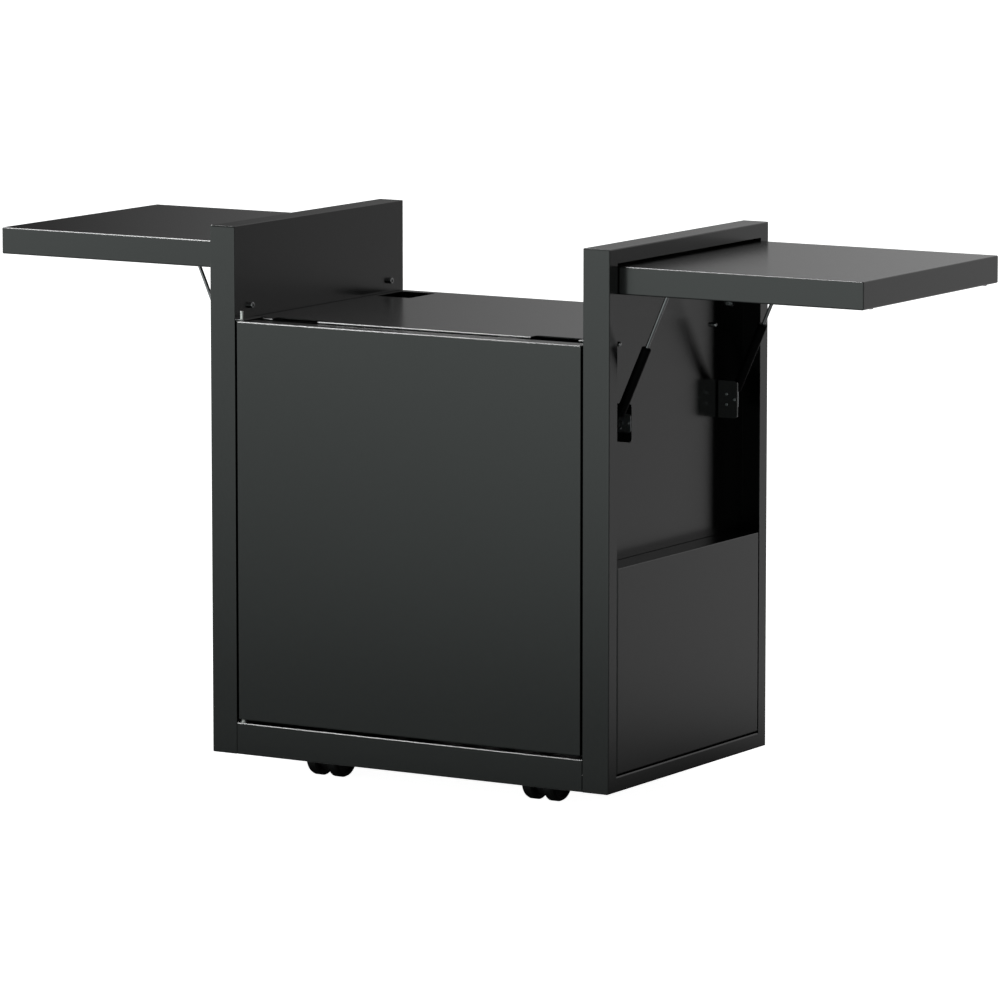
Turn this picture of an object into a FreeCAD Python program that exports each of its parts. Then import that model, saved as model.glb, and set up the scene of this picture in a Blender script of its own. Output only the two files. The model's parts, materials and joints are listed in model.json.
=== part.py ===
import FreeCAD, Part
import math
import os

# Plancha cart: a welded sheet-steel cabinet on four twin-wheel casters, with one
# inset door, an open bay above a deck, and two side shelves that fold down into
# wells in the side frames on gas struts.
# Millimetres, +X right, +Y to the back, +Z up, origin on the floor under the middle.

# ---------------------------------------------------------------- driving sizes
WIDTH = 756.0            # over both side frames
DEPTH = 520.0            # front face to back edge
TOP = 913.0              # floor to the top of the side frames
CLEAR = 39.5             # floor to the bottom of the frames
SIDE_T = 48.0            # thickness of a side frame
SHEET = 1.5              # folded sheet
PLATE = 2.0              # deck and base sheet
LIP = 26.0               # lips of a side frame at front, back and bottom
LIP_TOP = 24.0           # lip of a side frame at the top
BEND = 2.0               # outside radius of the main bends

COVER_TOP = 401.0        # top of the lower side cover, the floor of the shelf well
COVER_GAP = 2.5          # gap between cover and lips
COVER_OFF = 1.2          # gap between the cover's ledge and the wall

SHELF_TOP = 884.0
SHELF_T = 44.6
SHELF_HALF = 230.5       # half width of a shelf
SHELF_IN = 348.0         # inner end of a shelf
SHELF_OUT = 815.0        # outer end of a shelf
PIVOT_X = 362.0          # shelf hinge
PIVOT_Z = 868.0
PIN_R = 4.0

STRUT_Y = 190.8          # gas struts, front and back
STRUT_LOW = (351.3, 627.0)
STRUT_UP = (452.7, 855.0)
TUBE_R = 7.8
ROD_R = 3.0
TUBE_TOP = 136.6         # from the lower ball
BALL_R = 5.0
ARM_Y = 172.6            # plates that carry the ball studs

DECK_TOP = 760.5
DECK_FRONT = -216.0
DECK_BACK = 257.0
NOTCHES = ((-285.5, -196.5), (207.0, 296.0))      # finger notches
NOTCH_D = 20.5
TAB_X = -313.5           # edge of the corner tab that carries the door pin
RELIEF_X, RELIEF_Y = -303.0, -204.0    # relief beside the tab
CUT_X0, CUT_X1 = -316.0, -250.0        # hose cut-out
CUT_Y0, CUT_Y1 = 152.5, 235.5

DOOR_X0, DOOR_X1 = -326.6, 325.6
DOOR_Z0, DOOR_Z1 = 97.6, 757.7
DOOR_T = 30.0
DOOR_AXIS = (-320.4, -253.0)
DOOR_PIN_R = 3.0

RAIL_TOP = 92.1
BASE_Z = 87.0            # underside of the base panel
BACK_Y = 253.5           # inner face of the back panel

BOLT_Y, BOLT_Z = 214.5, 780.0          # bolts that locate the plancha
CASTER_X, CASTER_Y = 207.0, 184.0      # swivel axes
TRAIL = 22.0
WHEEL_R = 35.0
WHEEL_W = 20.0
WHEEL_IN = 10.0           # half gap between the two wheels

RUN = 0.06               # radial play of running fits

# ---------------------------------------------------------------- helpers
V = FreeCAD.Vector
XH = WIDTH / 2.0
YH = DEPTH / 2.0
XI = XH - SIDE_T         # inner face of the right frame
XW = XI + SHEET          # outer face of its wall

os.makedirs("parts", exist_ok=True)


def box(x0, x1, y0, y1, z0, z1):
    return Part.makeBox(x1 - x0, y1 - y0, z1 - z0, V(x0, y0, z0))


def rod(p, q, r):
    p, q = V(*p), V(*q)
    d = q - p
    return Part.makeCylinder(r, d.Length, p, d)


def hexbar(p, q, af):
    # hexagonal bar between two points on an axis parallel to X, Y or Z
    p, q = V(*p), V(*q)
    d = q - p
    length = d.Length
    n = V(d.x, d.y, d.z)
    n.normalize()
    u = V(0, 0, 1) if abs(n.z) < 0.5 else V(1, 0, 0)
    w = n.cross(u)
    c = af / math.sqrt(3.0)
    pts = []
    for k in range(6):
        a = math.radians(60.0 * k)
        pts.append(p + u * (c * math.cos(a)) + w * (c * math.sin(a)))
    face = Part.Face(Part.makePolygon(pts + [pts[0]]))
    return face.extrude(n * length)


def rounded(shape, radius, pick):
    edges = []
    for e in shape.Edges:
        if e.Degenerated:
            continue
        mid = (e.FirstParameter + e.LastParameter) / 2.0
        if pick(e.valueAt(mid), e.tangentAt(mid)):
            edges.append(e)
    return shape.makeFillet(radius, edges)


def near(a, b, tol=1e-3):
    return abs(a - b) < tol


def along(t, axis):
    return abs((t.x, t.y, t.z)[axis]) > 0.99


def flip_x(shape):
    return shape.mirror(V(0, 0, 0), V(1, 0, 0))


def flip_y(shape):
    return shape.mirror(V(0, 0, 0), V(0, 1, 0))


def both_y(shapes):
    return list(shapes) + [flip_y(s) for s in shapes]


def four(shapes):
    half = both_y(shapes)
    return half + [flip_x(s) for s in half]


def save(name, shapes):
    if not isinstance(shapes, (list, tuple)):
        shapes = [shapes]
    solids = []
    for s in shapes:
        for solid in s.Solids:
            solids.append(solid)
    for solid in solids:
        if not solid.isValid():
            print("invalid solid in", name)
    shape = solids[0] if len(solids) == 1 else Part.makeCompound(solids)
    shape.exportStep("parts/" + name + ".step")
    print("%-28s %2d solid(s) %12.0f mm3" % (name, len(solids), sum(s.Volume for s in solids)))


def button_screw(tip, head, r, head_r, head_h):
    # button-head screw: tip and underside of the head on one axis, with a hex socket
    tip, head = V(*tip), V(*head)
    n = head - tip
    n.normalize()
    top = head + n * head_h
    body = Part.makeCylinder(r, (head - tip).Length, tip, n)
    cap = Part.makeCylinder(head_r, head_h, head, n)
    cap = rounded(cap, head_h * 0.62, lambda m, t: abs((m - top).dot(n)) < 1e-6)
    socket = hexbar(tuple(top - n * (head_h * 0.55)), tuple(top + n * 1.0), head_r * 0.95)
    return body.fuse(cap).cut(socket).removeSplitter()


# ---------------------------------------------------------------- right side frame
def side_frame():
    s = box(XI, XH, -YH, YH, CLEAR, TOP)

    s = rounded(s, 2.4, lambda m, t: near(m.x, XH))
    # the corners are welded and dressed
    s = rounded(s, 0.5, lambda m, t: along(t, 0) and m.x < XH - 1.0)
    # the edges round the inner face are tighter
    s = rounded(s, 1.2, lambda m, t: near(m.x, XI) and (along(t, 1) or along(t, 2)))
    s = s.cut(box(XI - 5, XH - SHEET, -YH + SHEET, YH - SHEET, CLEAR + SHEET, TOP - SHEET))
    s = s.cut(box(XH - 10, XH + 5, -YH + LIP, YH - LIP, CLEAR + LIP, TOP - LIP_TOP))
    # the bottom lip is turned in along its upper edge
    z1 = CLEAR + LIP
    turn = box(XH - 9.0, XH, -YH + LIP, YH - LIP, z1 - 4.0, z1)
    turn = rounded(turn, 3.2, lambda m, t: near(m.x, XH) and near(m.z, z1))
    turn = turn.cut(box(XH - 20, XH - 4.0, -YH, YH, z1 - 10.0, z1 - SHEET))
    s = s.cut(box(XH - 10, XH + 5, -YH + LIP, YH - LIP, z1 - 4.0, z1 + 1.0))
    return s.fuse(turn).removeSplitter()


wall_holes = []          # holes through the right wall, as solids to cut
for y in (-BOLT_Y, BOLT_Y):
    wall_holes.append(rod((XI - 20, y, BOLT_Z), (XI + 20, y, BOLT_Z), 3.0))
DECK_SCREWS = [(-156.4, 750.5), (156.4, 750.5)]
BASE_SCREWS = [(-150.0, 77.0), (0.0, 77.0), (150.0, 77.0)]
for y, z in DECK_SCREWS + BASE_SCREWS:
    wall_holes.append(rod((XI - 20, y, z), (XI + 20, y, z), 2.5))
STRUT_SCREWS = [(187.0, 606.0), (187.0, 648.0)]
for y, z in STRUT_SCREWS:
    for q in (-1, 1):
        wall_holes.append(rod((XI - 20, q * y, z), (XI + 20, q * y, z), 2.5))

frame_r = side_frame()
save("right_side_frame", frame_r)
save("left_side_frame", flip_x(frame_r))

wall_r = box(XI, XW, -YH + SHEET, YH - SHEET, CLEAR + SHEET, TOP - SHEET)
for h in wall_holes:
    wall_r = wall_r.cut(h)
save("right_side_wall", wall_r)
save("left_side_wall", flip_x(wall_r))

# ---------------------------------------------------------------- lower side cover
cy = YH - LIP - COVER_GAP
cz0 = CLEAR + LIP + COVER_GAP
xc = XW + COVER_OFF
cover = box(xc, XH, -cy, cy, cz0, COVER_TOP)
cover = rounded(cover, BEND, lambda m, t: near(m.x, XH))
cover = rounded(cover, 0.9, lambda m, t: near(m.x, xc) and near(m.z, COVER_TOP) and along(t, 1))
cover = cover.cut(box(xc + SHEET, XH - SHEET, -cy + SHEET, cy - SHEET, cz0 - 5, COVER_TOP - SHEET))
cover = cover.cut(box(xc - 5, XH - 16.0, -cy - 5, cy + 5, cz0 - 5, COVER_TOP - 22.0))
cover = cover.cut(box(xc - 5, XH - 16.0, -cy - 5, -cy + SHEET, cz0 - 5, COVER_TOP - SHEET))
cover = cover.cut(box(xc - 5, XH - 16.0, cy - SHEET, cy + 5, cz0 - 5, COVER_TOP - SHEET))
cover = cover.fuse(box(XH - 16.0, XH - SHEET / 2, -cy + SHEET / 2, cy - SHEET / 2, cz0, cz0 + SHEET).cut(box(XH - SHEET, XH, -cy - 5, cy + 5, cz0 - 1, cz0 + 5)))
# dimples of the hem, welded to the wall
for y in (-150.0, 0.0, 150.0):
    cover = cover.fuse(box(XW, xc + SHEET / 2, y - 9.0, y + 9.0, COVER_TOP - 19.0, COVER_TOP - 9.0))
cover = cover.removeSplitter()
save("right_lower_cover", cover)
save("left_lower_cover", flip_x(cover))

# ---------------------------------------------------------------- deck
dz0 = DECK_TOP - 22.0
deck = box(-XI, XI, DECK_FRONT, DECK_BACK, dz0, DECK_TOP)
deck = rounded(deck, 4.5, lambda m, t: along(t, 1) and near(m.z, DECK_TOP))
deck = rounded(deck, BEND, lambda m, t: along(t, 0) and near(m.z, DECK_TOP))
deck = deck.cut(box(-XI + PLATE, XI - PLATE, DECK_FRONT + PLATE, DECK_BACK - PLATE, dz0 - 5, DECK_TOP - PLATE))
# corner tab that carries the door pin, with a relief beside it
deck = deck.cut(box(-XI - 1, RELIEF_X, DECK_FRONT - 1, RELIEF_Y, dz0 - 5, DECK_TOP + 5))
tab = box(-XI + 0.6, TAB_X, -258.0, RELIEF_Y + 1.0, DECK_TOP - PLATE, DECK_TOP)
tab = rounded(tab, 4.0, lambda m, t: along(t, 2) and near(m.y, -258.0) and near(m.x, TAB_X))
tab = rounded(tab, 0.8, lambda m, t: near(m.z, DECK_TOP) and m.y < RELIEF_Y and m.x > -XI + 0.7)
deck = deck.fuse(tab)
# finger notches
for a, b in NOTCHES:
    notch = box(a, b, DECK_FRONT - 5, DECK_FRONT + NOTCH_D, dz0 - 5, DECK_TOP + 5)
    notch = rounded(notch, 6.0, lambda m, t: along(t, 2) and near(m.y, DECK_FRONT + NOTCH_D))
    deck = deck.cut(notch)
cutout = box(CUT_X0, CUT_X1, CUT_Y0, CUT_Y1, dz0 + 6, DECK_TOP + 5)
cutout = rounded(cutout, 4.0, lambda m, t: along(t, 2))
deck = deck.cut(cutout)
deck = deck.cut(rod((DOOR_AXIS[0], DOOR_AXIS[1], 700), (DOOR_AXIS[0], DOOR_AXIS[1], 800), DOOR_PIN_R))
for y, z in DECK_SCREWS:
    deck = deck.cut(rod((-XI - 20, y, z), (XI + 20, y, z), 2.5))
BACK_TOP_SCREWS = [(x, 749.5) for x in (-240.0, 0.0, 240.0)]
BACK_LOW_SCREWS = [(x, 78.0) for x in (-240.0, 0.0, 240.0)]
for x, z in BACK_TOP_SCREWS:
    deck = deck.cut(rod((x, 200, z), (x, 300, z), 2.5))
deck = deck.removeSplitter()
save("deck_plate", deck)

# ---------------------------------------------------------------- base panel
bz0 = BASE_Z - 20.0
bz1 = BASE_Z + PLATE
base = box(-XI, XI, -256.0, BACK_Y, bz0, bz1)
base = base.cut(box(-XI + PLATE, XI - PLATE, -254.0, BACK_Y - PLATE, bz0 - 5, BASE_Z))
for y, z in BASE_SCREWS:
    base = base.cut(rod((-XI - 20, y, z), (XI + 20, y, z), 2.5))
for x, z in BACK_LOW_SCREWS:
    base = base.cut(rod((x, 200, z), (x, 300, z), 2.5))
for cx in (-CASTER_X, CASTER_X):
    for cyy in (-CASTER_Y, CASTER_Y):
        for dx in (-22, 22):
            for dy in (-22, 22):
                base = base.cut(rod((cx + dx, cyy + dy, 60), (cx + dx, cyy + dy, 100), 3.0))
save("base_panel", base)

# ---------------------------------------------------------------- back panel
back = box(-XI + 2.4, XI - 2.4, BACK_Y, BACK_Y + SHEET, bz0 + 2.0, DECK_TOP - PLATE)
for x, z in BACK_TOP_SCREWS + BACK_LOW_SCREWS:
    back = back.cut(rod((x, 200, z), (x, 300, z), 2.5))
for z in (150.0, 168.0, 662.0, 680.0):
    for k in range(-3, 4):
        x = 76.0 * k
        slot = box(x - 25.0, x + 25.0, 240, 270, z - 3.0, z + 3.0)
        slot = rounded(slot, 2.9, lambda m, t: along(t, 1))
        back = back.cut(slot)
save("back_panel", back)

# ---------------------------------------------------------------- front rail
xr = XI - 1.0
rail = box(-xr, xr, -YH, DECK_FRONT + 2.0, CLEAR, RAIL_TOP)
rail = rounded(rail, BEND, lambda m, t: along(t, 0) and near(m.y, -YH))
rail = rail.cut(box(-XI, XI, -YH + SHEET, 0, CLEAR + SHEET, RAIL_TOP - SHEET))
rail = rail.cut(box(-XI, XI, -YH + 12.0, 0, CLEAR - 5, CLEAR + 5))
rail = rail.cut(rod((DOOR_AXIS[0], DOOR_AXIS[1], 60), (DOOR_AXIS[0], DOOR_AXIS[1], 120), DOOR_PIN_R))
# end returns, below the folds of the base
for a, b in ((-xr, -xr + SHEET), (xr - SHEET, xr)):
    rail = rail.fuse(box(a, b, -YH + SHEET, -YH + 22.0, CLEAR + SHEET, bz0 - 0.5)).fuse(box(a, b, -YH + SHEET, -YH + 12.0, CLEAR + SHEET / 2, CLEAR + 2 * SHEET))
rail = rail.removeSplitter()
save("front_rail", rail)

# ---------------------------------------------------------------- door
door = box(DOOR_X0, DOOR_X1, -YH, -YH + DOOR_T, DOOR_Z0, DOOR_Z1)
door = rounded(door, 2.2, lambda m, t: near(m.y, -YH) or (along(t, 1)))
door = door.cut(box(DOOR_X0 + SHEET, DOOR_X1 - SHEET, -YH + SHEET, 0, DOOR_Z0 + SHEET, DOOR_Z1 - SHEET))
bush_hole = rod((DOOR_AXIS[0], DOOR_AXIS[1], 50), (DOOR_AXIS[0], DOOR_AXIS[1], 800), 4.2)
door = door.cut(bush_hole)
save("door_skin", door)
liner = box(DOOR_X0 + SHEET, DOOR_X1 - SHEET, -YH + DOOR_T - SHEET, -YH + DOOR_T, DOOR_Z0 + SHEET, DOOR_Z1 - SHEET)
save("door_liner", liner)
bushes = []
for z0, z1 in ((DOOR_Z0, DOOR_Z0 + 24.0), (DOOR_Z1 - 24.0, DOOR_Z1)):
    b = rod((DOOR_AXIS[0], DOOR_AXIS[1], z0), (DOOR_AXIS[0], DOOR_AXIS[1], z1), 4.2)
    bushes.append(b.cut(rod((DOOR_AXIS[0], DOOR_AXIS[1], z0 - 1), (DOOR_AXIS[0], DOOR_AXIS[1], z1 + 1), DOOR_PIN_R + RUN)))
save("door_bushes", bushes)

ax, ay = DOOR_AXIS
pin_top = rod((ax, ay, DOOR_Z1 - 20.0), (ax, ay, DECK_TOP + 13.8), DOOR_PIN_R)
pin_top = rounded(pin_top, 0.8, lambda m, t: near(m.z, DECK_TOP + 13.8))
pin_low = rod((ax, ay, RAIL_TOP - 2.0), (ax, ay, DOOR_Z0 + 20.0), DOOR_PIN_R)
pin_low = pin_low.fuse(rod((ax, ay, RAIL_TOP + SHEET), (ax, ay, DOOR_Z0 - 0.4), 4.2)).removeSplitter()
save("door_hinge_pins", [pin_top, pin_low])
washer = rod((ax, ay, RAIL_TOP), (ax, ay, RAIL_TOP + SHEET), 6.5).cut(rod((ax, ay, RAIL_TOP - 1), (ax, ay, RAIL_TOP + 5), DOOR_PIN_R))
save("door_hinge_washer", washer)

magnet = box(150.0, 184.0, -YH + DOOR_T + 0.6, DECK_FRONT, DECK_TOP - 19.0, DECK_TOP - 3.0)
magnet = rounded(magnet, 1.0, lambda m, t: along(t, 1))
save("magnet_catch", magnet)

# ---------------------------------------------------------------- shelves
sz0 = SHELF_TOP - SHELF_T
tray = box(SHELF_IN, SHELF_OUT, -SHELF_HALF, SHELF_HALF, sz0, SHELF_TOP)


def tray_edges(m, t):
    if near(m.x, SHELF_IN):
        return False
    if along(t, 2):
        return near(m.x, SHELF_OUT)
    return near(m.z, SHELF_TOP) or near(m.z, sz0)


tray = rounded(tray, 2.2, tray_edges)
tray = tray.cut(box(SHELF_IN - 5, SHELF_OUT - SHEET, -SHELF_HALF + SHEET, SHELF_HALF - SHEET, sz0 + SHEET, SHELF_TOP - SHEET))
tray = tray.cut(box(SHELF_IN - 5, SHELF_OUT - 20.0, -SHELF_HALF + 8.0, SHELF_HALF - 8.0, sz0 - 5, sz0 + 5))
heel = box(SHELF_IN - 1, SHELF_IN + 12.0, -SHELF_HALF - 1, SHELF_HALF + 1, sz0 - 1, sz0 + 12.0)
heel = heel.cut(rod((SHELF_IN + 12.0, -300, sz0 + 12.0), (SHELF_IN + 12.0, 300, sz0 + 12.0), 12.0))
tray = tray.cut(heel)
tray = tray.cut(rod((PIVOT_X, -300, PIVOT_Z), (PIVOT_X, 300, PIVOT_Z), 6.0))
save("right_shelf_tray", tray)
save("left_shelf_tray", flip_x(tray))

# flanged bushes in the skirts
b = rod((PIVOT_X, -SHELF_HALF - 1.7, PIVOT_Z), (PIVOT_X, -SHELF_HALF, PIVOT_Z), 9.0)
b = b.fuse(rod((PIVOT_X, -SHELF_HALF, PIVOT_Z), (PIVOT_X, -SHELF_HALF + 6.0, PIVOT_Z), 6.0))
b = b.cut(rod((PIVOT_X, -300, PIVOT_Z), (PIVOT_X, -200, PIVOT_Z), PIN_R + RUN)).removeSplitter()
shelf_bushes = both_y([b])
save("right_shelf_bushes", shelf_bushes)
save("left_shelf_bushes", [flip_x(s) for s in shelf_bushes])

# rubber bumpers under the outer edge
bump = rod((SHELF_OUT - 7.5, -194.0, sz0 - 1.5), (SHELF_OUT - 7.5, -194.0, sz0), 5.0)
bump = rounded(bump, 0.9, lambda m, t: near(m.z, sz0 - 1.5))
bumps = both_y([bump])
save("right_shelf_bumpers", bumps)
save("left_shelf_bumpers", [flip_x(s) for s in bumps])

# arms under the shelf for the upper ends of the struts
ux, uz = STRUT_UP
arm = box(ux - 18, ux + 18, -ARM_Y - 3.0, -ARM_Y, uz - 12, SHELF_TOP - SHEET)
arm = rounded(arm, 7.0, lambda m, t: along(t, 1) and near(m.z, uz - 12))
arm = arm.fuse(box(ux - 18, ux + 18, -ARM_Y, -ARM_Y + 24.0, SHELF_TOP - SHEET - 3.0, SHELF_TOP - SHEET)).removeSplitter()
arm = arm.cut(rod((ux, -200, uz), (ux, -100, uz), 3.0))
arms = both_y([arm])
save("right_shelf_strut_arms", arms)
save("left_shelf_strut_arms", [flip_x(s) for s in arms])
nut = hexbar((ux, -ARM_Y, uz), (ux, -ARM_Y + 5.0, uz), 10.0)
nut = nut.fuse(rod((ux, -ARM_Y - 3.0, uz), (ux, -ARM_Y + 6.5, uz), 3.0)).removeSplitter()
nuts = both_y([nut])
save("right_shelf_stud_nuts", nuts)
save("left_shelf_stud_nuts", [flip_x(s) for s in nuts])

# hinge brackets behind the lips, and their pins
by = SHELF_HALF + 4.0
hb = box(XW, PIVOT_X + 11.0, -by - 3.0, -by, PIVOT_Z - 16.0, PIVOT_Z + 16.0)
hb = rounded(hb, 10.0, lambda m, t: along(t, 1) and near(m.x, PIVOT_X + 11.0))
hb = hb.fuse(box(XW, XW + 3.0, -by - 21.0, -by - 3.0, PIVOT_Z - 16.0, PIVOT_Z + 16.0)).removeSplitter()
hb = hb.cut(rod((PIVOT_X, -300, PIVOT_Z), (PIVOT_X, -200, PIVOT_Z), PIN_R))
save("shelf_hinge_brackets", four([hb]))
hp = rod((PIVOT_X, -by - 3.0, PIVOT_Z), (PIVOT_X, -SHELF_HALF + 8.0, PIVOT_Z), PIN_R)
head = rod((PIVOT_X, -by - 6.5, PIVOT_Z), (PIVOT_X, -by - 3.0, PIVOT_Z), 7.0)
head = rounded(head, 1.2, lambda m, t: near(m.y, -by - 6.5))
hp = hp.fuse(head).removeSplitter()
save("shelf_hinge_pins", four([hp]))

# ---------------------------------------------------------------- gas struts
lx, lz = STRUT_LOW
sdx, sdz = ux - lx, uz - lz
REACH = math.hypot(sdx, sdz)
TILT = math.degrees(math.atan2(sdx, sdz))
fx, fz = PIVOT_X + (uz - PIVOT_Z), PIVOT_Z - (ux - PIVOT_X)
SHORT = math.hypot(fx - lx, fz - lz)
TILT_F = math.degrees(math.atan2(fx - lx, fz - lz))
print("strut %.3f open %.3f folded, tilt %.4f to %.4f deg" % (REACH, SHORT, TILT, TILT_F))


def place(shape):
    # from the strut's own axis, up from the lower ball, to the front right strut
    s = shape.copy()
    s.rotate(V(0, 0, 0), V(0, 1, 0), TILT)
    s.translate(V(lx, -STRUT_Y, lz))
    return s


def socket(at, up):
    # ball socket with a neck; open towards the plate side (+Y)
    e = Part.makeCylinder(8.2, 13.0, V(0, -7.0, at), V(0, 1, 0))
    e = rounded(e, 1.2, lambda m, t: near(m.y, -7.0))
    e = e.fuse(rod((0, 0, at), (0, 0, at + up * 13.0), 5.0))
    e = e.cut(Part.makeSphere(BALL_R + 0.08, V(0, 0, at)))
    e = e.cut(rod((0, 0, at), (0, 12, at), 4.7))
    return e.removeSplitter()


low_socket = socket(0.0, 1.0).fuse(rod((0, 0, 13.0), (0, 0, 15.5), 6.0)).removeSplitter()
tube = rod((0, 0, 15.5), (0, 0, TUBE_TOP), TUBE_R)
tube = rounded(tube, 1.4, lambda m, t: near(m.z, 15.5) or near(m.z, TUBE_TOP))
tube = tube.cut(rod((0, 0, 17.0), (0, 0, TUBE_TOP - 5.0), TUBE_R - 1.2))
tube = tube.cut(rod((0, 0, TUBE_TOP - 6.0), (0, 0, TUBE_TOP + 1), ROD_R + RUN))
piston_top = TUBE_TOP - 8.5
piston = rod((0, 0, piston_top - 4.5), (0, 0, piston_top), TUBE_R - 1.2 - RUN)
srod = rod((0, 0, piston_top - 4.5), (0, 0, REACH - 13.0), ROD_R).fuse(piston).removeSplitter()
up_socket = socket(REACH, -1.0)


def stud_up():
    # upper ball stud: rides with the rod, stops just short of the shelf's arm
    s = Part.makeSphere(BALL_R, V(ux, -STRUT_Y, uz))
    s = s.fuse(rod((ux, -STRUT_Y, uz), (ux, -ARM_Y - 3.3, uz), 3.2))
    s = s.fuse(hexbar((ux, -ARM_Y - 6.8, uz), (ux, -ARM_Y - 3.3, uz), 10.0))
    return s.removeSplitter()


tubes = both_y([place(tube)])
save("right_strut_cylinders", tubes)
save("left_strut_cylinders", [flip_x(s) for s in tubes])
lows = both_y([place(low_socket)])
save("right_strut_lower_sockets", lows)
save("left_strut_lower_sockets", [flip_x(s) for s in lows])
rods = both_y([place(srod)])
save("right_strut_rods", rods)
save("left_strut_rods", [flip_x(s) for s in rods])
ups = both_y([place(up_socket)])
save("right_strut_rod_ends", ups)
save("left_strut_rod_ends", [flip_x(s) for s in ups])
studs = both_y([stud_up()])
save("right_strut_upper_studs", studs)
save("left_strut_upper_studs", [flip_x(s) for s in studs])

# wall brackets that carry the lower ends, with the wall flange on the strut's side
BRACKET_X = 369.8
RIVETS = [(350.1, lz - 8.6), (350.1, lz + 8.6), (364.6, lz)]
wb = box(XW, BRACKET_X, -ARM_Y - 26.0, -ARM_Y + 1.5, lz - 31.0, lz + 30.5)
wb = rounded(wb, 3.5, lambda m, t: along(t, 2) and near(m.x, XW) and near(m.y, -ARM_Y + 1.5))
wb = wb.cut(box(XW + 3.0, BRACKET_X + 10.0, -ARM_Y - 30.0, -ARM_Y - 1.5, lz - 40.0, lz + 40.0))
wb = rounded(wb, 5.0, lambda m, t: along(t, 1) and near(m.x, BRACKET_X))
for x, z in RIVETS:
    wb = wb.cut(rod((x, -200, z), (x, -100, z), 1.6))
for y, z in STRUT_SCREWS:
    wb = wb.cut(rod((XI - 20, -y, z), (XI + 20, -y, z), 2.5))
save("strut_wall_brackets", four([wb]))

# lower ball studs, each on a small plate riveted to the bracket
ls = box(RIVETS[0][0] - 7.0, RIVETS[2][0] + 4.6, -ARM_Y - 4.0, -ARM_Y - 1.5, lz - 15.0, lz + 15.0)
ls = rounded(ls, 4.5, lambda m, t: along(t, 1))
for x, z in RIVETS:
    ls = ls.cut(rod((x, -200, z), (x, -100, z), 1.6))
ls = ls.fuse(Part.makeSphere(BALL_R, V(lx, -STRUT_Y, lz)))
ls = ls.fuse(rod((lx, -STRUT_Y, lz), (lx, -ARM_Y - 4.0, lz), 3.2)).removeSplitter()
save("strut_lower_studs", four([ls]))

# ---------------------------------------------------------------- bolts, nuts and screws
bolt = rod((XI - 0.5, -BOLT_Y, BOLT_Z), (XW + 6.5, -BOLT_Y, BOLT_Z), 3.0)
bhead = rod((XI, -BOLT_Y, BOLT_Z), (XI - 6.5, -BOLT_Y, BOLT_Z), 5.0)
bhead = rounded(bhead, 1.0, lambda m, t: near(m.x, XI - 6.5))
bolt = bolt.fuse(bhead).cut(hexbar((XI - 7.0, -BOLT_Y, BOLT_Z), (XI - 3.5, -BOLT_Y, BOLT_Z), 5.0)).removeSplitter()
save("locating_bolts", four([bolt]))
nut_b = hexbar((XW, -BOLT_Y, BOLT_Z), (XW + 5.0, -BOLT_Y, BOLT_Z), 10.0).cut(rod((XI - 5, -BOLT_Y, BOLT_Z), (XW + 20, -BOLT_Y, BOLT_Z), 3.0))
save("hex_nuts", four([nut_b]))

screws = []
for y, z in DECK_SCREWS:          # deck folds, heads in the well
    cap = rod((XW, y, z), (XW + 8.0, y, z), 4.0)
    cap = rounded(cap, 3.0, lambda m, t: near(m.x, XW + 8.0))
    screws.append(cap.fuse(rod((XI - 6.0, y, z), (XW, y, z), 2.5)).removeSplitter())
for y, z in BASE_SCREWS:          # base folds, heads under the base
    screws.append(button_screw((XW + 4.0, y, z), (XI - PLATE, y, z), 2.5, 4.75, 2.8))
for q in (-1, 1):
    for y, z in STRUT_SCREWS:
        screws.append(button_screw((XI - 4.0, q * y, z), (XW + 3.0, q * y, z), 2.5, 4.75, 2.8))
screws = screws + [flip_x(s) for s in screws]
save("frame_screws", screws)
rivets = []
for x, z in RIVETS:
    rivet = rod((x, -ARM_Y - 4.0, z), (x, -ARM_Y + 1.5, z), 1.6)
    for y0, y1 in ((-ARM_Y + 1.5, -ARM_Y + 2.9), (-ARM_Y - 4.0, -ARM_Y - 5.0)):
        dome = rod((x, y0, z), (x, y1, z), 2.5)
        rivet = rivet.fuse(rounded(dome, 0.9, lambda m, t: near(m.y, y1)))
    rivets.append(rivet.removeSplitter())
save("strut_bracket_rivets", four(rivets))
bscrews = [button_screw((x, BACK_Y - 4.0, z), (x, DECK_BACK, z), 2.5, 4.75, 2.6) for x, z in BACK_TOP_SCREWS]
bscrews += [button_screw((x, BACK_Y - 6.0, z), (x, BACK_Y + SHEET, z), 2.5, 4.75, 2.6) for x, z in BACK_LOW_SCREWS]
save("back_panel_screws", bscrews)

# ---------------------------------------------------------------- casters
plates, cscrews = [], []
PLATE_Z = BASE_Z - 3.0   # underside of a caster's plate
SEAT_Z = PLATE_Z - 7.5   # underside of its boss
for cx in (-CASTER_X, CASTER_X):
    for cyy in (-CASTER_Y, CASTER_Y):
        p = box(cx - 30, cx + 30, cyy - 30, cyy + 30, PLATE_Z, BASE_Z)
        p = rounded(p, 7.0, lambda m, t: along(t, 2))
        p = p.fuse(rod((cx, cyy, SEAT_Z), (cx, cyy, PLATE_Z), 15.0))
        p = p.cut(rod((cx, cyy, SEAT_Z - 5.0), (cx, cyy, PLATE_Z), 5.0 + RUN))
        for dx in (-22, 22):
            for dy in (-22, 22):
                p = p.cut(rod((cx + dx, cyy + dy, 60), (cx + dx, cyy + dy, 100), 3.0))
                cscrews.append(button_screw((cx + dx, cyy + dy, bz1 + 5.0), (cx + dx, cyy + dy, PLATE_Z), 3.0, 5.25, 3.0))
        plates.append(p.removeSplitter())
save("caster_plates", plates)
save("caster_screws", cscrews)


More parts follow.
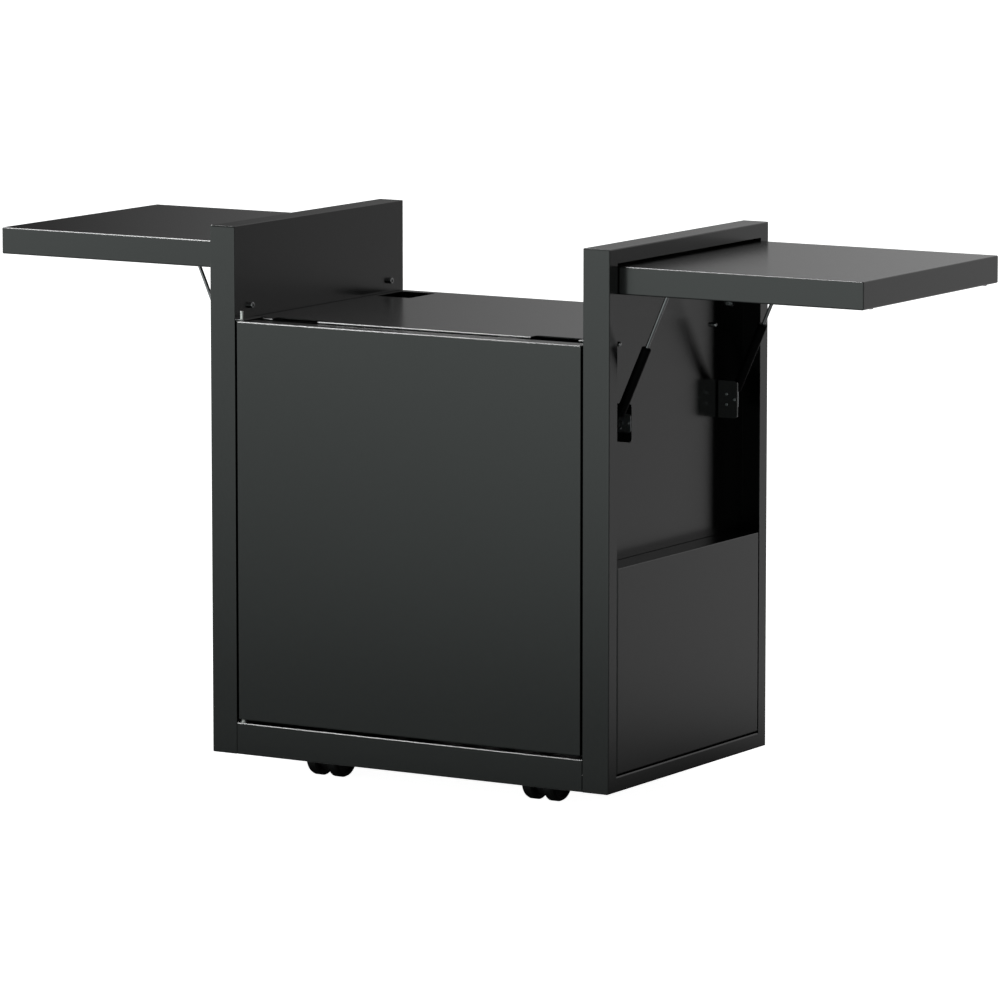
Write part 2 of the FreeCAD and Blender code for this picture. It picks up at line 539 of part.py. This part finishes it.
def caster(cx, cyy, name):
    ay2 = cyy + TRAIL
    w = WHEEL_IN - 1.0
    outw = WHEEL_IN + WHEEL_W

    def disc(half, r):
        return rod((cx - half, ay2, WHEEL_R), (cx + half, ay2, WHEEL_R), r)

    hood = disc(w, 26.0)
    hood = hood.fuse(box(cx - w, cx + w, cyy - 9.0, ay2, WHEEL_R + 4.0, SEAT_Z - 3.0))
    # fender over the two wheels
    fen = disc(outw, WHEEL_R + 3.6)
    fen = rounded(fen, 2.0, lambda m, t: near(m.x, cx - outw) or near(m.x, cx + outw))
    fen = fen.cut(disc(outw + 1, WHEEL_R + 1.2))
    fen = fen.cut(box(cx - 40, cx + 40, ay2 - 60, ay2 + 60, -10, WHEEL_R + 10.0))
    hood = hood.fuse(fen)
    hood = hood.fuse(box(cx - w, cx + w, ay2 - WHEEL_R, ay2 + WHEEL_R, WHEEL_R + 10.0, SEAT_Z - 5.0).common(disc(w, WHEEL_R + 2.0)))
    hood = hood.fuse(rod((cx, cyy, SEAT_Z - 16.0), (cx, cyy, SEAT_Z - 0.3), 14.0).cut(disc(outw + 3, WHEEL_R + 1.3)))
    hood = hood.fuse(rod((cx, cyy, SEAT_Z - 5.0), (cx, cyy, PLATE_Z - 0.4), 5.0))
    hood = hood.cut(disc(outw + 10, 4.0)).removeSplitter()
    save("caster_hood_" + name, hood)
    save("caster_axle_" + name, disc(outw - 1.5, 4.0))
    # one wheel in section: tread, rim, dished web and hub, turned about the axle
    r0 = 4.0 + RUN
    prof = [(WHEEL_IN, r0), (WHEEL_IN, WHEEL_R - 2.5), (WHEEL_IN + 2.5, WHEEL_R), (outw - 5.0, WHEEL_R),
            (outw - 1.3, WHEEL_R - 1.8), (outw, WHEEL_R - 5.0), (outw, WHEEL_R - 7.5), (outw - 3.6, WHEEL_R - 9.0), (outw - 4.2, 12.0),
            (outw - 1.0, 10.5), (outw - 0.4, 9.6), (outw - 0.4, r0)]
    pts = [V(cx + x, ay2, WHEEL_R + z) for x, z in prof]
    face = Part.Face(Part.makePolygon(pts + [pts[0]]))
    wheel = face.revolve(V(cx, ay2, WHEEL_R), V(1, 0, 0), 360.0)
    wheel2 = wheel.mirror(V(cx, 0, 0), V(1, 0, 0))
    save("caster_wheels_" + name, [wheel, wheel2])


caster(-CASTER_X, -CASTER_Y, "front_left")
caster(CASTER_X, -CASTER_Y, "front_right")
caster(-CASTER_X, CASTER_Y, "rear_left")
caster(CASTER_X, CASTER_Y, "rear_right")
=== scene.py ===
import json
import math

import bpy
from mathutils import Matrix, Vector

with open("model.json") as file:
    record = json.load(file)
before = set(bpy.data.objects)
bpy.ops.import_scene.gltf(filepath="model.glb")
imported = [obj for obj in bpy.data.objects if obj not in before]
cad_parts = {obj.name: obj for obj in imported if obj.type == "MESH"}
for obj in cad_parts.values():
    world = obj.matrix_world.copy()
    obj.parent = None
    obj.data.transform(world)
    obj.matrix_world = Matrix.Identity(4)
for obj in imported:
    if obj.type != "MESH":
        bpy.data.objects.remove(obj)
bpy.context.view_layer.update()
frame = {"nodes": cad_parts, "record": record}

nodes = frame["nodes"]
scene = bpy.context.scene


# ------------------------------------------------------------------ materials
def new_material(name):
    m = bpy.data.materials.new(name)
    m.use_nodes = True
    t = m.node_tree
    for n in list(t.nodes):
        t.nodes.remove(n)
    out = t.nodes.new("ShaderNodeOutputMaterial")
    bsdf = t.nodes.new("ShaderNodeBsdfPrincipled")
    t.links.new(bsdf.outputs["BSDF"], out.inputs["Surface"])
    return m, t, bsdf


def calc(t, op, a, b=None):
    n = t.nodes.new("ShaderNodeMath")
    n.operation = op
    for i, v in enumerate((a, b)):
        if v is None:
            continue
        if isinstance(v, (int, float)):
            n.inputs[i].default_value = v
        else:
            t.links.new(v, n.inputs[i])
    return n.outputs["Value"]


def axes(t, kind):
    co = t.nodes.new("ShaderNodeTexCoord")
    sep = t.nodes.new("ShaderNodeSeparateXYZ")
    t.links.new(co.outputs[kind], sep.inputs["Vector"])
    return sep.outputs["X"], sep.outputs["Y"], sep.outputs["Z"]


def smooth(t, v, lo, hi, a=0.0, b=1.0, kind="SMOOTHSTEP"):
    n = t.nodes.new("ShaderNodeMapRange")
    n.interpolation_type = kind
    n.inputs["From Min"].default_value = lo
    n.inputs["From Max"].default_value = hi
    n.inputs["To Min"].default_value = a
    n.inputs["To Max"].default_value = b
    t.links.new(v, n.inputs["Value"])
    return n.outputs["Result"]


def noise(t, scale, detail=2.0, rough=0.5, stretch=(1, 1, 1)):
    co = t.nodes.new("ShaderNodeTexCoord")
    mp = t.nodes.new("ShaderNodeMapping")
    mp.inputs["Scale"].default_value = stretch
    n = t.nodes.new("ShaderNodeTexNoise")
    n.inputs["Scale"].default_value = scale
    n.inputs["Detail"].default_value = detail
    n.inputs["Roughness"].default_value = rough
    t.links.new(co.outputs["Object"], mp.inputs["Vector"])
    t.links.new(mp.outputs["Vector"], n.inputs["Vector"])
    return n.outputs["Fac"]


def ramp(t, fac, a, b, lo=0.3, hi=0.7):
    r = t.nodes.new("ShaderNodeValToRGB")
    r.color_ramp.elements[0].position = lo
    r.color_ramp.elements[1].position = hi
    r.color_ramp.elements[0].color = (*a, 1)
    r.color_ramp.elements[1].color = (*b, 1)
    t.links.new(fac, r.inputs["Fac"])
    return r.outputs["Color"]


def spread(t, fac, a, b, lo=0.3, hi=0.7):
    r = t.nodes.new("ShaderNodeMapRange")
    r.inputs["From Min"].default_value = lo
    r.inputs["From Max"].default_value = hi
    r.inputs["To Min"].default_value = a
    r.inputs["To Max"].default_value = b
    t.links.new(fac, r.inputs["Value"])
    return r.outputs["Result"]


def bump(t, bsdf, fac, strength, distance, under=None):
    b = t.nodes.new("ShaderNodeBump")
    b.inputs["Strength"].default_value = strength
    b.inputs["Distance"].default_value = distance
    t.links.new(fac, b.inputs["Height"])
    if under is not None:
        t.links.new(under, b.inputs["Normal"])
    t.links.new(b.outputs["Normal"], bsdf.inputs["Normal"])
    return b.outputs["Normal"]


def shade(c, k):
    return tuple(x * k for x in c)


def powder_coat(name, col, rough=(0.40, 0.48), grain=0.10):
    # fine satin texture of a cured powder coat: soft orange peel under a fine grain
    m, t, b = new_material(name)
    t.links.new(ramp(t, noise(t, 5.0, 4.0, 0.6), shade(col, 0.94), shade(col, 1.06)), b.inputs["Base Color"])
    t.links.new(spread(t, noise(t, 260.0, 3.0, 0.6), rough[0], rough[1]), b.inputs["Roughness"])
    # painted shade: weaker reflection on the inner faces of the frames' front and back plates, inside the bays
    x, y, z = axes(t, "Object")
    ax, ay = calc(t, "ABSOLUTE", x), calc(t, "ABSOLUTE", y)
    painted_bay_shade = calc(t, "MULTIPLY", calc(t, "GREATER_THAN", ay, 0.2576), calc(t, "LESS_THAN", ay, 0.2594))
    painted_bay_shade = calc(t, "MULTIPLY", painted_bay_shade, calc(t, "LESS_THAN", ax, 0.3762))
    painted_bay_shade = calc(t, "MULTIPLY", painted_bay_shade, calc(t, "GREATER_THAN", ax, 0.3316))
    painted_bay_shade = calc(t, "MULTIPLY", painted_bay_shade, 0.42)
    # painted shade: weaker reflection along the tops of the side frames and their front top bend, more on the left,
    # stopping short of the left frame's outer bend so a painted highlight line stays there
    lead = calc(t, "MULTIPLY", calc(t, "LESS_THAN", y, -0.2578), calc(t, "GREATER_THAN", z, 0.9106))
    painted_top_shade = calc(t, "MAXIMUM", calc(t, "GREATER_THAN", z, 0.91285), calc(t, "MULTIPLY", lead, 0.78))
    painted_top_shade = calc(t, "MULTIPLY", painted_top_shade, smooth(t, x, -0.375, -0.372))
    painted_top_shade = calc(t, "MULTIPLY", painted_top_shade, smooth(t, x, -0.1, 0.1, 0.41, 0.19))
    # reflection strength lowered wherever the painted shade masks lie
    t.links.new(calc(t, "SUBTRACT", 0.5, calc(t, "MAXIMUM", painted_bay_shade, painted_top_shade)), b.inputs["Specular IOR Level"])
    peel = bump(t, b, noise(t, 420.0, 1.0), grain * 0.6, 0.0002)
    bump(t, b, noise(t, 2300.0, 2.0, 0.7), grain, 0.0001, peel)
    return m


def plain_paint(name, col, rough, grain=0.06, sheen=0.5):
    m, t, b = new_material(name)
    b.inputs["Specular IOR Level"].default_value = sheen
    t.links.new(ramp(t, noise(t, 40.0, 3.0), shade(col, 0.85), shade(col, 1.15)), b.inputs["Base Color"])
    t.links.new(spread(t, noise(t, 180.0, 3.0), rough * 0.88, rough * 1.12), b.inputs["Roughness"])
    bump(t, b, noise(t, 900.0, 2.0), grain, 0.0001)
    return m


def metal(name, col, rough, stretch=(1, 1, 1), grain=0.08):
    m, t, b = new_material(name)
    b.inputs["Metallic"].default_value = 1.0
    t.links.new(ramp(t, noise(t, 60.0, 3.0), shade(col, 0.88), shade(col, 1.06)), b.inputs["Base Color"])
    g = noise(t, 900.0, 3.0, 0.6, stretch)
    t.links.new(spread(t, g, rough * 0.75, rough * 1.3), b.inputs["Roughness"])
    bump(t, b, g, grain, 0.00008)
    return m


def moulded(name, col, rough, grain=0.2, sheen=0.5):
    m, t, b = new_material(name)
    b.inputs["Specular IOR Level"].default_value = sheen
    t.links.new(ramp(t, noise(t, 30.0, 3.0), shade(col, 0.85), shade(col, 1.15)), b.inputs["Base Color"])
    t.links.new(spread(t, noise(t, 300.0, 3.0), rough * 0.9, rough * 1.1), b.inputs["Roughness"])
    bump(t, b, noise(t, 1500.0, 2.0), grain, 0.0001)
    return m


COAT = powder_coat("anthracite_powder_coat", (0.0028, 0.0030, 0.0029), (0.205, 0.235), 0.03)
CYL = plain_paint("black_cylinder_paint", (0.0010, 0.0010, 0.0011), 0.58, 0.06, 0.03)
SOCKET = plain_paint("black_socket_paint", (0.0025, 0.0025, 0.0026), 0.5, 0.12, 0.14)
SCREW = metal("black_screws", (0.30, 0.30, 0.305), 0.24)
ROD = metal("polished_rod", (0.16, 0.16, 0.165), 0.10)
STAINLESS = metal("stainless_steel", (0.40, 0.40, 0.39), 0.28)
ZINC = metal("zinc_steel", (0.30, 0.31, 0.32), 0.34)
PLASTIC = moulded("black_plastic", (0.003, 0.003, 0.0032), 0.5, 0.2, 0.15)
RUBBER = moulded("black_rubber", (0.006, 0.006, 0.006), 0.72, 0.3, 0.25)
TREAD = moulded("black_tread", (0.0022, 0.0022, 0.0022), 0.6, 0.3, 0.09)

BY_SLOT = {
    "anthracite_powder_coat": COAT, "black_cylinder_paint": CYL, "black_socket_paint": SOCKET,
    "black_screws": SCREW, "polished_rod": ROD, "stainless_steel": STAINLESS, "zinc_steel": ZINC,
    "black_plastic": PLASTIC, "black_rubber": RUBBER, "black_tread": TREAD,
}
slot_of = {s["node"]: s["material_slot"] for s in frame["record"]["subparts"]}
for name, ob in nodes.items():
    mat = BY_SLOT[slot_of[name]]
    if not ob.material_slots:
        ob.data.materials.append(mat)
    for s in ob.material_slots:
        s.material = mat


# ------------------------------------------------------------------ floor, light and camera
def sheet(name, x0, y0, x1, y1, z):
    me = bpy.data.meshes.new(name)
    me.from_pydata([(x0, y0, z), (x1, y0, z), (x1, y1, z), (x0, y1, z)], [], [(0, 1, 2, 3)])
    ob = bpy.data.objects.new(name, me)
    scene.collection.objects.link(ob)
    return ob


def floor():
    ob = sheet("floor", -60.0, -60.0, 60.0, 60.0, 0.0)
    m, t, b = new_material("pale_floor")
    t.links.new(ramp(t, noise(t, 1.5, 3.0), (0.78, 0.78, 0.78), (0.80, 0.80, 0.80)), b.inputs["Base Color"])
    b.inputs["Roughness"].default_value = 0.9
    b.inputs["Specular IOR Level"].default_value = 0.0
    b.inputs["Emission Color"].default_value = (1, 1, 1, 1)
    b.inputs["Emission Strength"].default_value = FLOOR_GLOW
    ob.data.materials.append(m)
    ob.visible_glossy = False
    ob.visible_diffuse = False


def card(name, x0, y0, x1, y1):
    # a glowing floor card for painted reflections, seen only by mirror-like reflections: glow at Strength,
    # see-through by Fac
    ob = sheet(name, x0, y0, x1, y1, 0.0005)
    m = bpy.data.materials.new(name)
    m.use_nodes = True
    t = m.node_tree
    for n in list(t.nodes):
        t.nodes.remove(n)
    out = t.nodes.new("ShaderNodeOutputMaterial")
    mix = t.nodes.new("ShaderNodeMixShader")
    mix.inputs["Fac"].default_value = 0.0
    clear = t.nodes.new("ShaderNodeBsdfTransparent")
    glow = t.nodes.new("ShaderNodeEmission")
    t.links.new(glow.outputs["Emission"], mix.inputs[1])
    t.links.new(clear.outputs["BSDF"], mix.inputs[2])
    t.links.new(mix.outputs["Shader"], out.inputs["Surface"])
    ob.data.materials.append(m)
    ob.visible_camera = False
    ob.visible_diffuse = False
    ob.visible_shadow = False
    return t, mix, glow


def contact_card():
    # painted shadow in reflections: a dark glowing card round the cart, fading out with distance from its footprint
    t, mix, glow = card("contact_card", -2.4, -0.21, 2.4, 2.4)
    x, y, z = axes(t, "Object")
    ox = calc(t, "MAXIMUM", calc(t, "SUBTRACT", calc(t, "ABSOLUTE", x), 0.378), 0.0)
    oy = calc(t, "MAXIMUM", calc(t, "SUBTRACT", calc(t, "ABSOLUTE", y), 0.26), 0.0)
    far = calc(t, "SQRT", calc(t, "ADD", calc(t, "MULTIPLY", ox, ox), calc(t, "MULTIPLY", oy, oy)))
    painted_shadow = calc(t, "POWER", 2.71828, calc(t, "DIVIDE", far, -CONTACT_REACH))
    painted_shadow = calc(t, "MINIMUM", calc(t, "MULTIPLY", painted_shadow, 1.12), 1.0)
    t.links.new(calc(t, "SUBTRACT", 1.0, painted_shadow), mix.inputs["Fac"])
    glow.inputs["Strength"].default_value = 0.03


def front_card():
    # painted reflection of the floor in front: a glowing card, dim close to the cart and brighter away from it
    t, mix, glow = card("front_card", -40.0, -40.0, 40.0, -0.22)
    x, y, z = axes(t, "Object")
    r = t.nodes.new("ShaderNodeValToRGB")
    while len(r.color_ramp.elements) < len(FRONT_RAMP):
        r.color_ramp.elements.new(0.5)
    for e, (d, v) in zip(r.color_ramp.elements, FRONT_RAMP):
        e.position = d / 10.0
        e.color = (v, v, v, 1)
    t.links.new(calc(t, "DIVIDE", calc(t, "SUBTRACT", -0.26, y), 10.0), r.inputs["Fac"])
    # painted reflection a little brighter towards the right of the cart, and brighter again at its far left end
    ahead = calc(t, "SUBTRACT", -0.26, y)
    lean = calc(t, "ADD", x, calc(t, "MULTIPLY", ahead, 0.625))
    lean = calc(t, "DIVIDE", lean, calc(t, "ADD", 1.0, calc(t, "MULTIPLY", ahead, 0.113)))
    lean = calc(t, "MAXIMUM", calc(t, "MINIMUM", lean, 0.9), -0.9)
    reach = calc(t, "MINIMUM", calc(t, "DIVIDE", ahead, 2.2), 1.0)
    end = smooth(t, lean, -0.73, -0.81, 0.0, 0.50)
    lean = calc(t, "ADD", 1.0, calc(t, "MULTIPLY", calc(t, "MULTIPLY", lean, reach), FRONT_LEAN))
    lean = calc(t, "ADD", lean, end)
    level = calc(t, "MULTIPLY", r.outputs["Color"], FRONT_LEVEL)
    t.links.new(calc(t, "MULTIPLY", level, lean), glow.inputs["Strength"])
    glow.inputs["Color"].default_value = FRONT_TINT


FLOOR_GLOW = 0.97
CONTACT_REACH = 0.39
FRONT_TINT = (0.912, 1.0, 0.970, 1)
FRONT_LEVEL = 1.52
FRONT_RAMP = ((0.0, 0.12), (0.333, 0.245), (0.65, 0.235), (1.06, 0.29), (1.66, 0.408), (2.33, 0.51), (3.1, 0.583), (4.0, 0.678), (5.0, 0.78), (7.0, 0.96), (10.0, 1.0))
FRONT_LEAN = 0.31
floor()
contact_card()
front_card()


def area(name, at, to, size, power):
    l = bpy.data.lights.new(name, "AREA")
    l.shape = "RECTANGLE"
    l.size, l.size_y = size
    l.energy = power
    ob = bpy.data.objects.new(name, l)
    ob.location = at
    ob.rotation_euler = (Vector(to) - Vector(at)).to_track_quat("-Z", "Y").to_euler()
    ob.visible_camera = False
    scene.collection.objects.link(ob)
    return ob


EDGE_POWER = 230.0
edge = area("edge_strip", (-1.55, -0.6, 3.1), (0.0, 0.0, 0.6), (0.8, 2.6), EDGE_POWER)
edge.visible_diffuse = False
# a small one from the front left for the deck's left corner
corner = area("corner_strip", (-2.1, -2.85, 2.2), (-0.3, -0.22, 0.76), (0.7, 0.7), 100.0)
corner.visible_diffuse = False

# studio surround, by compass angle (degrees right of the back) and height angle
BACK_LEFT = (36.05, 20.0, 0.895)
BACK_RIGHT = (38.3, 22.0, 1.04)
SIDE_LEVEL = 0.45
TOP_LEVEL = 0.45
REAR_LEVEL = 0.55
RIM_LEVEL = 0.50
BAY_LEVEL = 0.60

world = bpy.data.worlds.new("studio")
scene.world = world
world.use_nodes = True
wt = world.node_tree
for n in list(wt.nodes):
    wt.nodes.remove(n)


wx, wy, wz = axes(wt, "Generated")
az = calc(wt, "MULTIPLY", calc(wt, "ARCTAN2", wx, wy), 57.29578)
el = calc(wt, "MULTIPLY", calc(wt, "ARCSINE", wz), 57.29578)
low = smooth(wt, el, 22.0, 50.0, 1.0, 0.0)
left = smooth(wt, az, -BACK_LEFT[0], -BACK_LEFT[1], 0.0, BACK_LEFT[2], "LINEAR")
right = smooth(wt, az, BACK_RIGHT[0], BACK_RIGHT[1], 0.0, BACK_RIGHT[2], "LINEAR")
right = calc(wt, "MINIMUM", right, smooth(wt, az, 34.8, 24.8, 0.0, 1.22, "LINEAR"))
back = calc(wt, "MULTIPLY", calc(wt, "MINIMUM", left, right), low)
front = calc(wt, "MULTIPLY", calc(wt, "ADD", smooth(wt, az, -100.0, -125.0), smooth(wt, az, 155.0, 180.0)), low)
front = calc(wt, "MULTIPLY", front, FRONT_LEVEL)
away = calc(wt, "ABSOLUTE", az)
side = calc(wt, "MULTIPLY", calc(wt, "MULTIPLY", smooth(wt, away, 45.0, 80.0), smooth(wt, away, 155.0, 130.0)), low)
side = calc(wt, "MULTIPLY", side, SIDE_LEVEL)
top = smooth(wt, el, 25.0, 60.0, 0.0, TOP_LEVEL)
# pale floor far behind on the left, below the horizon
rear = calc(wt, "MULTIPLY", smooth(wt, az, -12.0, -28.0), smooth(wt, az, -150.0, -120.0))
rear = calc(wt, "MULTIPLY", rear, smooth(wt, el, -3.0, -9.0, 0.0, REAR_LEVEL))
rim = calc(wt, "MULTIPLY", smooth(wt, az, -38.0, -50.0), smooth(wt, az, -92.0, -76.0))
rear = calc(wt, "ADD", rear, calc(wt, "MULTIPLY", rim, smooth(wt, el, -3.0, -7.0, 0.0, RIM_LEVEL)))
# a little more from the back right above the horizon, for the inside of the bay
bay = calc(wt, "MULTIPLY", smooth(wt, az, 30.8, 32.6), smooth(wt, az, 46.0, 38.0))
bay = calc(wt, "MULTIPLY", bay, calc(wt, "MULTIPLY", smooth(wt, el, 2.0, 5.0), smooth(wt, el, 16.0, 12.0, 0.0, BAY_LEVEL)))
rear = calc(wt, "ADD", rear, bay)
inner = calc(wt, "MULTIPLY", smooth(wt, az, 33.8, 32.2), smooth(wt, az, 30.2, 31.4))
inner = calc(wt, "MULTIPLY", inner, calc(wt, "MULTIPLY", smooth(wt, el, -7.6, -6.0), smooth(wt, el, 3.0, 1.0, 0.0, 0.22)))
rear = calc(wt, "ADD", rear, inner)
bg_sum = None
for level, tint in ((back, (1, 1, 1, 1)), (front, FRONT_TINT), (side, (1, 1, 1, 1)), (top, (1, 1, 1, 1)), (rear, (1, 1, 1, 1))):
    bg = wt.nodes.new("ShaderNodeBackground")
    bg.inputs["Color"].default_value = tint
    wt.links.new(level, bg.inputs["Strength"])
    if bg_sum is None:
        bg_sum = bg.outputs["Background"]
    else:
        add = wt.nodes.new("ShaderNodeAddShader")
        wt.links.new(bg_sum, add.inputs[0])
        wt.links.new(bg.outputs["Background"], add.inputs[1])
        bg_sum = add.outputs["Shader"]
wo = wt.nodes.new("ShaderNodeOutputWorld")
wt.links.new(bg_sum, wo.inputs["Surface"])

cam_data = bpy.data.cameras.new("camera")
cam = bpy.data.objects.new("camera", cam_data)
scene.collection.objects.link(cam)
cam.location = (5.5374, -9.1215, 1.9859)
cam.rotation_euler = (math.radians(90.0 - 8.164), 0.0, math.radians(31.1711))
cam_data.sensor_width = 36.0
cam_data.sensor_fit = "HORIZONTAL"
cam_data.lens = 235.505
cam_data.clip_end = 200.0
scene.camera = cam

scene.view_settings.view_transform = "Standard"
scene.view_settings.look = "None"
scene.view_settings.exposure = 0.0
scene.view_settings.gamma = 1.0
